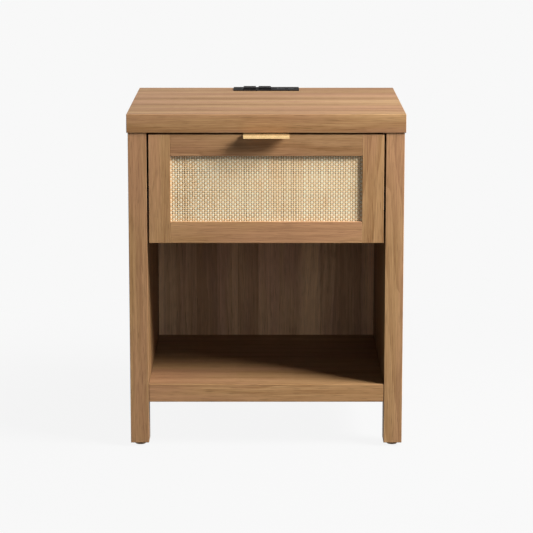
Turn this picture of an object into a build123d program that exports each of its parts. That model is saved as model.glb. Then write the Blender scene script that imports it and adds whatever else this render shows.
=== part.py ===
from build123d import *
import math
import os

# Bedside cabinet on four legs: one drawer with a woven cane front, an open shelf below it,
# and a charging station let into the back edge of the top. Millimetres.
# +Z is up, the drawer opens towards -Y, +X is to the right of a person who faces it.
# The origin is on the floor, under the middle of the whole outline, pull included.
# "left" and "right" are as seen from the front, so left is at -X.

# Overall
width = 450.0
depth = 400.0
height = 550.0                # floor to top surface
top_thick = 30.0
overhang = 2.0                # top beyond the legs, at the sides, front and back
eased_edge = 0.8              # rounding of the boards' visible edges

# Legs and glides
leg_width = 30.0              # along X
leg_depth = 40.0              # along Y
glide_radius = 9.0
glide_height = 6.0
glide_round = 2.0
nail_radius = 1.2
nail_length = 18.0            # into the leg
nail_head_radius = 3.0
nail_head_thick = 1.0

# Side, back and shelf boards
side_thick = 15.0
shelf_thick = 30.0
shelf_underside = 75.0        # above the floor
shelf_gap = 0.5               # between the shelf's ends and the sides
shelf_setback = 0.5           # shelf's front behind the legs' fronts
back_thick = 5.0
back_inset = 9.0              # back panel's rear face in from the rear legs' backs
groove_depth = 6.0
groove_gap = 0.1

# Dowels, cam bolts and cam nuts
bore_gap = 0.1                # radial gap of every fastener in its bore
dowel_radius = 4.0
dowel_half = 15.0             # length in each board
dowel_short = 10.0            # length in a thin board's face
dowel_end_gap = 0.5
dowel_inset = 40.0            # side to leg dowels from the side board's ends
dowel_row_inset = 90.0        # dowels along the depth, from the side board's ends
cam_radius = 7.5
cam_height = 12.4
cam_backset = 24.0            # cam centre from the joint
cam_bolt_depth = 8.0          # bolt axis below the board's face
cam_channel_radius = 3.9
cam_cross_width = 2.0
cam_cross_length = 9.0
cam_cross_depth = 2.0
bolt_thread_radius = 3.2
bolt_thread_length = 11.0
bolt_shank_radius = 3.0
bolt_head_radius = 3.6
bolt_head_length = 3.0
shank_bore_radius = 4.0
leg_cam_inset = 14.0          # bolt axis from the leg's face that meets the side board
shelf_cam_inset = 38.0        # bolt axis from the side board's ends
back_screw_radius = 1.5
back_screw_length = 16.0
back_screw_head_radius = 3.0
back_screw_spacing = 150.0

# Drawer front: frame, cane and backing
front_gap = 3.0               # round the drawer front
front_height = 177.0
front_thick = 18.0
frame_width = 35.0            # stiles and rails
frame_ease = 0.6
cane_recess = 4.5             # cane below the frame's face
cane_thick = 1.5
rebate_width = 6.0
rebate_gap = 0.2
frame_dowel_radius = 3.0
frame_dowel_half = 14.0
frame_dowel_depth = 9.0       # dowel axis behind the front face

# Drawer box
box_board = 12.0
box_height = 110.0
box_lift = 12.0               # box above the drawer front's lower edge
floor_thick = 3.0
floor_lift = 8.0              # drawer floor above the box's lower edge
floor_groove = 5.0
floor_gap = 0.2
screw_radius = 2.0
screw_head_radius = 3.8
screw_head_depth = 1.9
box_screw_length = 34.0
box_screw_inset = 23.0        # from the box's upper and lower edges
front_screw_length = 20.0
front_screw_spacing_x = 220.0
front_screw_inset = 33.0

# Ball slides: three sections, full extension
slide_height = 35.0
slide_thick = 12.7            # from cabinet side to drawer side
slide_steel = 1.2
slide_setback = 2.0           # slide's front behind the drawer front
slide_step = 50.0             # slides are made in steps of this length
slide_rear_room = 10.0        # least room behind the drawer box
slide_left_in = 20.0          # overlap of drawer and cabinet lengths when open
middle_flange = 1.5
web_gap = 0.3                 # between a cage and the steel beside it
cage_steel = 0.6
cage_margin = 2.5
ball_radius = 1.5
ball_gap = 0.1
race_depth = 0.35
ball_pitch = 25.0
ball_line = 8.0               # ball centres from the cabinet side
ball_hole_gap = 0.15
slide_screw_radius = 1.9
slide_screw_head_radius = 3.4
cabinet_screw_length = 12.0
cabinet_screw_inset = 37.0
drawer_screw_length = 9.0
drawer_screw_inset = 50.0

# Pull: one folded brass sheet on the drawer front's upper edge
pull_width = 74.0
pull_reach = 20.0             # lip's face ahead of the drawer front
pull_lip = 5.5
pull_sheet = 1.5
pull_tail = 24.0              # flange behind the drawer front
pull_bend = 1.6
pull_screw_radius = 1.5
pull_screw_length = 12.0
pull_screw_head_radius = 3.0
pull_screw_head = 1.8
pull_screw_spacing = 44.0
pull_screw_drop = 12.0        # below the drawer front's upper edge

# Charging station
plate_width = 115.0
plate_depth = 53.0
plate_thick = 1.9
plate_sunk = 0.5              # depth of the ledge that the plate lies in
plate_corner = 4.0
plate_ease = 0.6
notch_width = 105.0
notch_depth = 45.0
fit_gap = 0.2                 # housing in the notch and faces in the plate
housing_height = 27.5         # under the plate
housing_wall = 2.0
housing_back_inset = 2.5      # housing's rear wall in from the top's back edge
ear_width = 13.0
ear_height = 16.0
ear_thick = 2.4
station_screw_radius = 1.5
station_screw_length = 14.0
station_screw_head_radius = 2.9
outlet_pair_x = -16.0         # middle of the two outlets
outlet_gap = 1.8              # between their lips
outlet_width = 23.0
outlet_length = 33.0
outlet_rise = 2.4             # above the plate
outlet_body = 12.0            # below the top surface
outlet_lip = 1.6
outlet_lip_thick = 1.3
slot_spacing = 12.7
slot_width = 2.0
slot_length = 7.6
slot_shift = 5.0
ground_radius = 2.6
ground_shift = -7.0
contact_width = 3.6
contact_length = 6.0
contact_height = 9.0
contact_slot = 1.6
usb_a_x = 25.5
usb_a_size = (13.1, 5.7)
usb_c_x = 43.5
usb_c_size = (9.0, 3.3)
usb_shell = 0.4
usb_depth = 11.0
usb_tongue = 1.4
usb_tongue_gap = 1.0          # tongue's tip below the mouth
board_size = (30.0, 18.0)
board_thick = 1.6
post_radius = 2.0
gland_x = -30.0
gland_radius = 6.0
gland_flange = 8.0
gland_flange_thick = 1.5
gland_bore = 3.6

# ---- Places worked out from the sizes above ----

half_width = width / 2
top_underside = height - top_thick
front_y = (pull_reach + overhang - depth) / 2          # leg and drawer fronts
top_front_y = front_y - overhang
top_back_y = top_front_y + depth
rear_y = top_back_y - overhang                          # backs of the rear legs
leg_outer = half_width - overhang
inner_x = leg_outer - leg_width                         # faces that the slides sit on
side_front_y = front_y + leg_depth
side_back_y = rear_y - leg_depth
back_y = rear_y - back_inset - back_thick               # back panel's front face
shelf_top = shelf_underside + shelf_thick

front_half = inner_x - front_gap
front_top = top_underside - front_gap
front_bottom = front_top - front_height
front_back_y = front_y + front_thick
frame_inner_x = front_half - frame_width
opening_bottom = front_bottom + frame_width
opening_top = front_top - frame_width
cane_y = front_y + cane_recess
backing_y = cane_y + cane_thick

slide_y = front_back_y + slide_setback
slide_room = back_y - slide_rear_room - front_back_y
slide_length = slide_step * math.floor(slide_room / slide_step)
slide_travel = slide_length - slide_left_in
slide_back_y = slide_y + slide_length

box_half = inner_x - slide_thick
box_bottom = front_bottom + box_lift
box_top = box_bottom + box_height
box_back_y = front_back_y + slide_length
box_inner_x = box_half - box_board
floor_z = box_bottom + floor_lift
slide_z = box_bottom + box_height / 2

# Heights above and below the slide's middle line, outermost first
outer_flange = slide_height / 2 - slide_steel
outer_balls = outer_flange + race_depth - ball_gap - ball_radius
middle_outer = outer_balls - ball_radius - ball_gap + race_depth
middle_inner = middle_outer - middle_flange
inner_balls = middle_inner + race_depth - ball_gap - ball_radius
drawer_outer = inner_balls - ball_radius - ball_gap + race_depth

# Distances from the cabinet side, outermost first
outer_cage_web = slide_steel + web_gap
middle_web = outer_cage_web + cage_steel + web_gap
inner_cage_web = middle_web + slide_steel + web_gap
drawer_flange_end = inner_cage_web + cage_steel + web_gap
flange_reach = slide_thick - slide_steel - 3 * web_gap
cage_reach = ball_line + ball_radius + web_gap
cage_length = slide_length - slide_travel / 2 - 2 * cage_margin
cage_back = slide_travel / 4 + cage_margin               # from the slide's rear end


# ---- Helpers ----


def board(x0, x1, y0, y1, z0, z1):
    """A rectangular solid between two corners."""
    middle = Pos((x0 + x1) / 2, (y0 + y1) / 2, (z0 + z1) / 2)
    return middle * Box(abs(x1 - x0), abs(y1 - y0), abs(z1 - z0))


def rod(start, direction, radius, length):
    """A round bar from a point along a direction."""
    ends_low = (Align.CENTER, Align.CENTER, Align.MIN)
    return Plane(origin=start, z_dir=direction) * Cylinder(radius, length, align=ends_low)


def cone(start, direction, radius, end_radius, length):
    """A round taper from a point along a direction."""
    ends_low = (Align.CENTER, Align.CENTER, Align.MIN)
    return Plane(origin=start, z_dir=direction) * Cone(radius, end_radius, length, align=ends_low)


def eased(solid, edges, radius=eased_edge):
    """The solid with the given edges rounded."""
    return fillet(edges, radius)


def mirrored(solid):
    """The same piece on the other side of the cabinet."""
    return mirror(solid, about=Plane.YZ)


def less(solid, tools):
    """The solid with a list of tools cut from it."""
    for tool in tools:
        solid = solid - tool
    return solid


def group(solids):
    """Loose solids that share one node."""
    return Compound(solids)


# ---- Dowels, cam nuts and bolts, screws: each gives its solid and its bores ----


def dowel(joint, direction, length_in, length_back, radius=dowel_radius):
    """A dowel across a joint, and the bore for both boards."""
    axis = Vector(*direction)
    start = Vector(*joint) - axis * length_back
    pin = rod(start, axis, radius, length_in + length_back)
    pin = eased(pin, pin.edges().filter_by(GeomType.CIRCLE))
    bore_start = start - axis * dowel_end_gap
    bore = rod(bore_start, axis, radius + bore_gap, length_in + length_back + 2 * dowel_end_gap)
    return pin, bore


def cam_joint(joint, bolt_direction, nut_direction):
    """A bolt screwed into one board and its cam nut in the other.

    The joint point is on the bolt's axis, between the boards. The bolt's thread points along
    bolt_direction, and the nut's slotted face along nut_direction.
    """
    up = Vector(*bolt_direction)
    face = Vector(*nut_direction)
    point = Vector(*joint)
    centre = point - up * cam_backset
    head_start = centre - up * (bolt_head_length / 2)
    shank_start = head_start + up * bolt_head_length
    shank_length = cam_backset - bolt_head_length / 2

    bolt = rod(point, up, bolt_thread_radius, bolt_thread_length)
    bolt += rod(shank_start, up, bolt_shank_radius, shank_length)
    bolt += rod(head_start, up, bolt_head_radius, bolt_head_length)

    nut_base = centre + face * (cam_bolt_depth - cam_height)
    nut = rod(nut_base, face, cam_radius, cam_height)
    channel_start = centre - up * (bolt_head_length / 2 + fit_gap)
    nut -= rod(channel_start, up, cam_channel_radius, cam_radius + bolt_head_length)
    cross_plane = Plane(origin=centre + face * cam_bolt_depth, x_dir=up, z_dir=face)
    for turn in (45, -45):
        slot = Box(cam_cross_length, cam_cross_width, 2 * cam_cross_depth)
        nut -= cross_plane * Rot(0, 0, turn) * slot

    thread_bore = rod(point, up, bolt_thread_radius + bore_gap, bolt_thread_length + dowel_end_gap)
    shank_bore = rod(centre, up, shank_bore_radius, cam_backset)
    nut_bore = rod(nut_base - face * bore_gap, face, cam_radius + bore_gap, cam_height + 2 * bore_gap)
    return bolt, nut, [thread_bore], [shank_bore, nut_bore]


def sunk_screw(head, direction, radius, length, head_radius, head_depth):
    """A countersunk screw whose flat head is flush at a point, and its bore."""
    axis = Vector(*direction)
    start = Vector(*head)
    screw = rod(start, axis, radius, length)
    screw += cone(start, axis, head_radius, radius, head_depth)
    bore = rod(start, axis, radius + bore_gap, length + dowel_end_gap)
    bore += cone(start, axis, head_radius + bore_gap, radius + bore_gap, head_depth + bore_gap)
    return screw, bore


def pan_screw(head, direction, radius, length, head_radius, head_height):
    """A screw whose round head stands on the surface at a point, and its bore."""
    axis = Vector(*direction)
    start = Vector(*head)
    cap = rod(start - axis * head_height, axis, head_radius, head_height)
    outer_rim = cap.edges().filter_by(GeomType.CIRCLE).sort_by(lambda e: axis.dot(e.center()))[0]
    screw = eased(cap, [outer_rim]) + rod(start, axis, radius, length)
    bore = rod(start, axis, radius + bore_gap, length + dowel_end_gap)
    return screw, bore


# ---- Fasteners of the cabinet, placed by the boards that they join ----


def cabinet_fasteners():
    """Every dowel, cam joint and screw of the cabinet, with the bores for each board."""
    made = {"wood_dowels": [], "cam_bolts": [], "cam_lock_nuts": [], "back_panel_screws": []}
    bores = {name: [] for name in ("top", "leg", "side", "shelf", "back")}

    for side in (-1, 1):
        panel_x = side * (inner_x + side_thick / 2)

        leg_bolt_ys = (side_front_y - leg_cam_inset, side_back_y + leg_cam_inset)
        for y in leg_bolt_ys:
            joint = (side * (inner_x + cam_bolt_depth), y, top_underside)
            bolt, nut, in_top, in_leg = cam_joint(joint, (0, 0, 1), (-side, 0, 0))
            made["cam_bolts"].append(bolt)
            made["cam_lock_nuts"].append(nut)
            bores["top"] += in_top
            bores["leg"] += in_leg

        shelf_bolt_ys = (side_front_y + shelf_cam_inset, side_back_y - shelf_cam_inset)
        for y in shelf_bolt_ys:
            joint = (side * inner_x, y, shelf_underside + cam_bolt_depth)
            bolt, nut, in_side, in_shelf = cam_joint(joint, (side, 0, 0), (0, 0, -1))
            made["cam_bolts"].append(bolt)
            made["cam_lock_nuts"].append(nut)
            bores["side"] += in_side
            bores["shelf"] += in_shelf

        for z in (shelf_underside + dowel_inset, top_underside - dowel_inset):
            for y in (side_front_y, side_back_y):
                pin, bore = dowel((panel_x, y, z), (0, 1, 0), dowel_half, dowel_half)
                made["wood_dowels"].append(pin)
                bores["leg"].append(bore)
                bores["side"].append(bore)

        for y in (side_front_y + dowel_row_inset, side_back_y - dowel_row_inset):
            pin, bore = dowel((panel_x, y, top_underside), (0, 0, 1), dowel_half, dowel_half)
            made["wood_dowels"].append(pin)
            bores["top"].append(bore)
            bores["side"].append(bore)
            joint = (side * inner_x, y, shelf_underside + shelf_thick / 2)
            pin, bore = dowel(joint, (side, 0, 0), dowel_short, dowel_half)
            made["wood_dowels"].append(pin)
            bores["shelf"].append(bore)
            bores["side"].append(bore)

    for x in (-back_screw_spacing, 0, back_screw_spacing):
        head = (x, back_y + back_thick, shelf_underside + shelf_thick / 2)
        screw, bore = pan_screw(head, (0, -1, 0), back_screw_radius, back_screw_length,
                                back_screw_head_radius, nail_head_thick)
        made["back_panel_screws"].append(screw)
        bores["back"].append(bore)
        bores["shelf"].append(bore)
    return made, bores


def slide_screws(side):
    """The slide screws on one side: into the cabinet, then into the drawer."""
    cabinet, drawer = [], []
    cabinet_x = side * (inner_x - slide_steel)
    for along in (cabinet_screw_inset, slide_length / 2, slide_length - cabinet_screw_inset):
        cabinet.append(sunk_screw((cabinet_x, slide_y + along, slide_z), (side, 0, 0),
                                  slide_screw_radius, cabinet_screw_length,
                                  slide_screw_head_radius, slide_steel))
    drawer_x = side * (box_half + slide_steel)
    for along in (drawer_screw_inset, slide_length - drawer_screw_inset):
        drawer.append(sunk_screw((drawer_x, slide_y + along, slide_z), (-side, 0, 0),
                                 slide_screw_radius, drawer_screw_length,
                                 slide_screw_head_radius, slide_steel))
    return cabinet, drawer


# ---- Cabinet boards, legs and glides ----


def top_panel(bores, notch):
    """The top, with its edges eased and the notch for the charging station."""
    panel = board(-half_width, half_width, top_front_y, top_back_y, top_underside, height)
    panel = eased(panel, panel.edges())
    return less(panel, bores + notch)


def leg(y0, y1, bores):
    """A right-hand leg between two depths."""
    post = board(inner_x, leg_outer, y0, y1, glide_height, top_underside)
    below_joint = post.edges().filter_by_position(Axis.Z, 0, top_underside - 1)
    return less(eased(post, below_joint), bores)


def back_groove():
    """The groove in a right-hand rear leg that holds the back panel's edge."""
    return board(inner_x - groove_gap, inner_x + groove_depth + groove_gap,
                 back_y - groove_gap, back_y + back_thick + groove_gap,
                 shelf_underside - groove_gap, top_underside)


def side_panel(bores):
    """A right-hand side board between the legs, flush with their inner faces."""
    panel = board(inner_x, inner_x + side_thick, side_front_y, side_back_y,
                  shelf_underside, top_underside)
    return less(panel, bores)


def back_panel(bores):
    """The thin back, held in the rear legs' grooves and screwed to the shelf."""
    reach = inner_x + groove_depth
    panel = board(-reach, reach, back_y, back_y + back_thick, shelf_underside, top_underside)
    return less(panel, bores)


def bottom_shelf(bores):
    """The thick shelf under the open compartment."""
    reach = inner_x - shelf_gap
    panel = board(-reach, reach, front_y + shelf_setback, back_y, shelf_underside, shelf_top)
    front_edges = panel.edges().filter_by_position(Axis.Y, front_y, front_y + shelf_setback)
    return less(eased(panel, front_edges), bores)


def glides_and_nails():
    """A plastic glide under each leg, with the nail that holds it."""
    glides, nails, bores = [], [], []
    for side in (-1, 1):
        for y in (front_y + leg_depth / 2, rear_y - leg_depth / 2):
            x = side * (inner_x + leg_width / 2)
            disc = rod((x, y, 0), (0, 0, 1), glide_radius, glide_height)
            disc = eased(disc, disc.edges().group_by(Axis.Z)[0], glide_round)
            head_z = glide_height / 2
            sink = rod((x, y, 0), (0, 0, 1), nail_head_radius + bore_gap, head_z)
            hole = rod((x, y, 0), (0, 0, 1), nail_radius + bore_gap, glide_height + nail_length)
            nail = rod((x, y, head_z - nail_head_thick), (0, 0, 1), nail_head_radius, nail_head_thick)
            nail += rod((x, y, head_z), (0, 0, 1), nail_radius, glide_height - head_z + nail_length)
            bore = rod((x, y, glide_height), (0, 0, 1), nail_radius + bore_gap,
                       nail_length + dowel_end_gap)
            glides.append(disc - sink - hole)
            nails.append(nail)
            bores.append(bore)
    return glides, nails, bores


# ---- Drawer front ----


def frame_dowels():
    """One dowel in each corner joint of the drawer's frame."""
    pins, bores = [], []
    for side in (-1, 1):
        for z in (front_bottom + frame_width / 3, front_top - frame_width / 3):
            joint = (side * frame_inner_x, front_y + frame_dowel_depth, z)
            pin, bore = dowel(joint, (side, 0, 0), frame_dowel_half, frame_dowel_half,
                              frame_dowel_radius)
            pins.append(pin)
            bores.append(bore)
    return pins, bores


def cane_space(gap):
    """The space behind the frame's opening that the cane and its backing fill."""
    reach = frame_inner_x + rebate_width + gap
    return board(-reach, reach, cane_y, front_back_y,
                 opening_bottom - rebate_width - gap, opening_top + rebate_width + gap)


def frame_member(x0, x1, z0, z1, tools):
    """A stile or rail of the drawer's frame, with its front edges eased."""
    member = board(x0, x1, front_y, front_back_y, z0, z1)
    face_edges = member.edges().filter_by_position(Axis.Y, front_y, front_y)
    return less(eased(member, face_edges, frame_ease), [cane_space(rebate_gap)] + tools)


def cane_layer(y0, y1):
    """A sheet that fills the frame's rebate between two depths."""
    reach = frame_inner_x + rebate_width
    return board(-reach, reach, y0, y1, opening_bottom - rebate_width, opening_top + rebate_width)


def front_screws():
    """The screws that hold the drawer front to the box."""
    made = []
    for x in (-front_screw_spacing_x / 2, front_screw_spacing_x / 2):
        for z in (box_bottom + front_screw_inset, box_top - front_screw_inset):
            made.append(sunk_screw((x, front_back_y + box_board, z), (0, -1, 0), screw_radius,
                                   front_screw_length, screw_head_radius, screw_head_depth))
    return made


# ---- Drawer box ----


def box_screws():
    """The screws through the drawer's sides into its front and back boards."""
    made = []
    for side in (-1, 1):
        for y in (front_back_y + box_board / 2, box_back_y - box_board / 2):
            for z in (box_bottom + box_screw_inset, box_top - box_screw_inset):
                made.append(sunk_screw((side * box_half, y, z), (-side, 0, 0), screw_radius,
                                       box_screw_length, screw_head_radius, screw_head_depth))
    return made


def floor_space(gap):
    """The drawer floor, grown by a gap for the grooves that hold it."""
    reach = box_inner_x + floor_groove + gap - floor_gap
    return board(-reach, reach, front_back_y + box_board - floor_groove + floor_gap - gap,
                 box_back_y - box_board + floor_groove - floor_gap + gap,
                 floor_z - gap, floor_z + floor_thick + gap)


def box_side(tools):
    """A right-hand drawer side, over the ends of the front and back boards."""
    side = board(box_inner_x, box_half, front_back_y, box_back_y, box_bottom, box_top)
    upper = side.edges().filter_by(Axis.Y).filter_by_position(Axis.Z, box_top, box_top)
    return less(eased(side, upper), [floor_space(floor_gap)] + tools)


def box_end(y0, y1, tools):
    """A drawer front or back board between the sides."""
    end = board(-box_inner_x, box_inner_x, y0, y1, box_bottom, box_top)
    upper = end.edges().filter_by(Axis.X).filter_by_position(Axis.Z, box_top, box_top)
    return less(eased(end, upper), [floor_space(floor_gap)] + tools)


# ---- Ball slides, on the right-hand side ----


def channel(reach0, reach1, web0, half, thick, y0, y1, web_thick=slide_steel):
    """A C-shaped strip: its web at one distance from the side, its flanges over a reach."""
    web = board(inner_x - web0, inner_x - web0 - web_thick, y0, y1, slide_z - half, slide_z + half)
    for sign in (-1, 1):
        web += board(inner_x - reach0, inner_x - reach1, y0, y1,
                     slide_z + sign * half, slide_z + sign * (half - thick))
    return web


def race(half, y0, y1):
    """The two grooves that a pair of ball rows runs in."""
    return [rod((inner_x - ball_line, y0, slide_z + sign * half), (0, 1, 0),
                ball_radius + ball_gap, y1 - y0) for sign in (-1, 1)]


def cabinet_member(tools):
    """The slide member that is screwed to the cabinet."""
    strip = channel(0, flange_reach, 0, slide_height / 2, slide_steel, slide_y, slide_back_y)
    return less(strip, race(outer_balls, slide_y, slide_back_y) + tools)


def middle_member():
    """The floating member, with a race outside and inside each flange."""
    strip = channel(middle_web, flange_reach, middle_web, middle_outer, middle_flange,
                    slide_y, slide_back_y)
    races = race(outer_balls, slide_y, slide_back_y) + race(inner_balls, slide_y, slide_back_y)
    return less(strip, races)


def drawer_member(tools):
    """The slide member that is screwed to the drawer."""
    strip = channel(drawer_flange_end, slide_thick, slide_thick - slide_steel, drawer_outer,
                    slide_steel, slide_y, slide_back_y)
    return less(strip, race(inner_balls, slide_y, slide_back_y) + tools)


def ball_places():
    """Depths of the balls along a cage, evenly spaced about its middle."""
    middle = slide_back_y - cage_back - cage_length / 2
    count = math.floor((cage_length - 4 * ball_radius) / ball_pitch) + 1
    return [middle + (i - (count - 1) / 2) * ball_pitch for i in range(count)]


def ball_cage(web0, half):
    """The perforated strip that keeps two rows of balls apart."""
    y1 = slide_back_y - cage_back
    strip = channel(web0, cage_reach, web0, half + cage_steel / 2, cage_steel,
                    y1 - cage_length, y1, cage_steel)
    holes = [rod((inner_x - ball_line, y, slide_z - half - cage_steel), (0, 0, 1),
                 ball_radius + ball_hole_gap, 2 * half + 2 * cage_steel) for y in ball_places()]
    return less(strip, holes)


def balls(half):
    """Two rows of steel balls."""
    return [Pos(inner_x - ball_line, y, slide_z + sign * half) * Sphere(ball_radius)
            for sign in (-1, 1) for y in ball_places()]


# ---- Pull ----


def pull_screws():
    """The screws through the pull's tail into the drawer front."""
    z = front_top - pull_screw_drop
    return [pan_screw((x, front_back_y + pull_sheet, z), (0, -1, 0), pull_screw_radius,
                      pull_screw_length, pull_screw_head_radius, pull_screw_head)
            for x in (-pull_screw_spacing / 2, pull_screw_spacing / 2)]


def drawer_pull(tools):
    """A folded sheet: a lip in front, a flat over the drawer's edge and a tail behind."""
    lip_y = front_y - pull_reach
    tail_y = front_back_y + pull_sheet
    top_z = front_top + pull_sheet
    outline = Polyline((lip_y, top_z), (tail_y, top_z), (tail_y, front_top - pull_tail),
                       (front_back_y, front_top - pull_tail), (front_back_y, front_top),
                       (lip_y + pull_sheet, front_top), (lip_y + pull_sheet, top_z - pull_lip),
                       (lip_y, top_z - pull_lip), close=True)
    section = make_face(outline)
    outer_bends = section.vertices().group_by(Axis.Y)[-1]
    section = fillet(outer_bends, pull_bend)
    profile = Plane(origin=(-pull_width / 2, 0, 0), x_dir=(0, 1, 0), z_dir=(1, 0, 0)) * section
    sheet = extrude(profile, pull_width)
    lip_corners = sheet.edges().filter_by(Axis.Y).filter_by_position(Axis.Y, lip_y, lip_y + pull_sheet)
    sheet = eased(sheet, lip_corners.filter_by_position(Axis.Z, top_z - pull_lip, front_top - 1))
    return less(sheet, tools)


# ---- Charging station ----

housing_back_y = top_back_y - housing_back_inset
housing_front_y = top_back_y - notch_depth + fit_gap
station_y = (housing_front_y + housing_back_y) / 2       # middle line of outlets and ports
housing_half = notch_width / 2 - fit_gap
housing_bottom = height - plate_sunk - housing_height
plate_bottom = height - plate_sunk
plate_top = plate_bottom + plate_thick
outlet_step = outlet_width + 2 * outlet_lip + outlet_gap
outlet_x = (outlet_pair_x - outlet_step / 2, outlet_pair_x + outlet_step / 2)
ear_z = plate_bottom - housing_height / 2


def plate_outline(gap, z0, z1):
    """The plate's outline between two heights, with its front corners round."""
    reach = plate_width / 2 + gap
    outline = board(-reach, reach, top_back_y - plate_depth - gap, top_back_y, z0, z1)
    front_corners = outline.edges().filter_by(Axis.Z).group_by(Axis.Y)[0]
    return eased(outline, front_corners, plate_corner + gap)


def station_notch():
    """The notch in the top's back edge, the plate's ledge and a recess for each ear."""
    cuts = [board(-notch_width / 2, notch_width / 2, top_back_y - notch_depth, top_back_y + overhang,
                  top_underside - 1, height + 1)]
    reach = notch_width / 2 + ear_width
    cuts.append(board(-reach, reach, housing_back_y - ear_thick, top_back_y + overhang,
                      ear_z - ear_height / 2 - fit_gap, ear_z + ear_height / 2 + fit_gap))
    cuts.append(plate_outline(fit_gap, plate_bottom, height + 1))
    return cuts


def station_screws():
    """A screw through each ear of the housing into the top."""
    return [sunk_screw((side * (notch_width / 2 + ear_width / 2), housing_back_y, ear_z), (0, -1, 0),
                       station_screw_radius, station_screw_length, station_screw_head_radius,
                       station_screw_radius) for side in (-1, 1)]


def station_plate():
    """The thin plate round the outlets, flush with the top's back edge."""
    plate = plate_outline(0, plate_bottom, plate_top)
    plate = eased(plate, plate.faces().sort_by(Axis.Z)[-1].edges(), plate_ease)
    for x in outlet_x:
        plate -= outlet_block(x, fit_gap, height - 1, plate_top + 1)
    for x, size in ((usb_a_x, usb_a_size), (usb_c_x, usb_c_size)):
        plate -= usb_outline(x, size, fit_gap / 2, height - 1, plate_top + 1)
    return plate


def outlet_block(x, gap, z0, z1):
    """The outline of one outlet between two heights."""
    half_x = outlet_width / 2 + gap
    half_y = outlet_length / 2 + gap
    return board(x - half_x, x + half_x, station_y - half_y, station_y + half_y, z0, z1)


def outlet_face(x, outer_side):
    """One raised outlet, sloped at its outer end, with two slots and a round ground hole."""
    z1 = plate_top + outlet_rise
    block = outlet_block(x, 0, height - outlet_body, z1)
    end_edge = block.faces().sort_by(Axis.Z)[-1].edges().filter_by(Axis.Y)
    end_edge = end_edge.sort_by(Axis.X)[-1 if outer_side > 0 else 0]
    block = chamfer(end_edge, outlet_rise - fit_gap)
    block += outlet_block(x, outlet_lip, plate_bottom - outlet_lip_thick, plate_bottom)
    deep = 2 * (outlet_body + outlet_rise + plate_thick)
    for sign in (-1, 1):
        slot = Box(slot_width, slot_length, deep)
        block -= Pos(x + sign * slot_spacing / 2, station_y + slot_shift, height) * slot
    block -= Pos(x, station_y + ground_shift, height) * Cylinder(ground_radius, deep)
    return block


def outlet_contacts():
    """Brass clips under every slot and ground hole."""
    clips = []
    z1 = height - outlet_body
    for x in outlet_x:
        places = [(x - slot_spacing / 2, station_y + slot_shift),
                  (x + slot_spacing / 2, station_y + slot_shift), (x, station_y + ground_shift)]
        for cx, cy in places:
            clip = board(cx - contact_width / 2, cx + contact_width / 2, cy - contact_length / 2,
                         cy + contact_length / 2, z1 - contact_height, z1)
            clip -= board(cx - contact_slot / 2, cx + contact_slot / 2, cy - contact_length,
                          cy + contact_length, z1 - contact_height + contact_slot, z1 + 1)
            clips.append(clip)
    return clips


def usb_outline(x, size, gap, z0, z1):
    """The round-ended outline of a USB port between two heights."""
    flat = SlotOverall(size[0] + 2 * gap, size[1] + 2 * gap)
    if size[1] > usb_c_size[1]:
        flat = Rectangle(size[0] + 2 * gap, size[1] + 2 * gap)
    return Pos(x, station_y, z0) * extrude(flat, z1 - z0)


def usb_port(x, size):
    """A metal shell with its tongue, mouth up and flush with the plate."""
    z0 = plate_top - usb_depth
    port = usb_outline(x, size, 0, z0, plate_top)
    port -= usb_outline(x, size, -usb_shell, z0 + usb_shell, plate_top + 1)
    tongue_half = size[0] / 2 - 2 * usb_shell - fit_gap
    half_thick = min(usb_tongue, size[1] / 4) / 2
    return port + board(x - tongue_half, x + tongue_half, station_y - half_thick,
                        station_y + half_thick, z0, plate_top - usb_tongue_gap)


def usb_board():
    """The circuit board under the ports, on two posts of the housing."""
    z1 = plate_top - usb_depth
    x = (usb_a_x + usb_c_x) / 2
    return board(x - board_size[0] / 2, x + board_size[0] / 2, station_y - board_size[1] / 2,
                 station_y + board_size[1] / 2, z1 - board_thick, z1)


def station_housing(tools):
    """The open box under the plate, with its ears, its posts and the cable hole."""
    z0 = housing_bottom
    shell = board(-housing_half, housing_half, housing_front_y, housing_back_y, z0, plate_bottom)
    shell -= board(-housing_half + housing_wall, housing_half - housing_wall,
                   housing_front_y + housing_wall, housing_back_y - housing_wall,
                   z0 + housing_wall, height + 1)
    reach = notch_width / 2 + ear_width - fit_gap
    for side in (-1, 1):
        shell += board(side * (housing_half - housing_wall), side * reach,
                       housing_back_y - ear_thick + fit_gap, housing_back_y,
                       ear_z - ear_height / 2, ear_z + ear_height / 2)
    board_x = (usb_a_x + usb_c_x) / 2
    post_top = plate_top - usb_depth - board_thick
    for sign in (-1, 1):
        x = board_x + sign * (board_size[0] / 2 - 2 * post_radius)
        shell += rod((x, station_y, z0 + housing_wall / 2), (0, 0, 1), post_radius,
                     post_top - z0 - housing_wall / 2)
    shell -= rod((gland_x, housing_back_y + 1, ear_z), (0, -1, 0), gland_radius + bore_gap,
                 housing_wall + 2)
    return less(shell, tools)


def cable_gland():
    """The bush in the housing's rear wall that a cable passes through."""
    inner_end = housing_back_y - housing_wall - gland_flange_thick
    length = housing_back_y + gland_flange_thick - inner_end
    bush = rod((gland_x, inner_end, ear_z), (0, 1, 0), gland_radius, length)
    bush += rod((gland_x, housing_back_y, ear_z), (0, 1, 0), gland_flange, gland_flange_thick)
    rim = bush.edges().filter_by(GeomType.CIRCLE).group_by(Axis.Y)[-1]
    bush = eased(bush, rim)
    return bush - rod((gland_x, inner_end - 1, ear_z), (0, 1, 0), gland_bore, length + 2)


# ---- Assembly: one entry for each node ----


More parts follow.
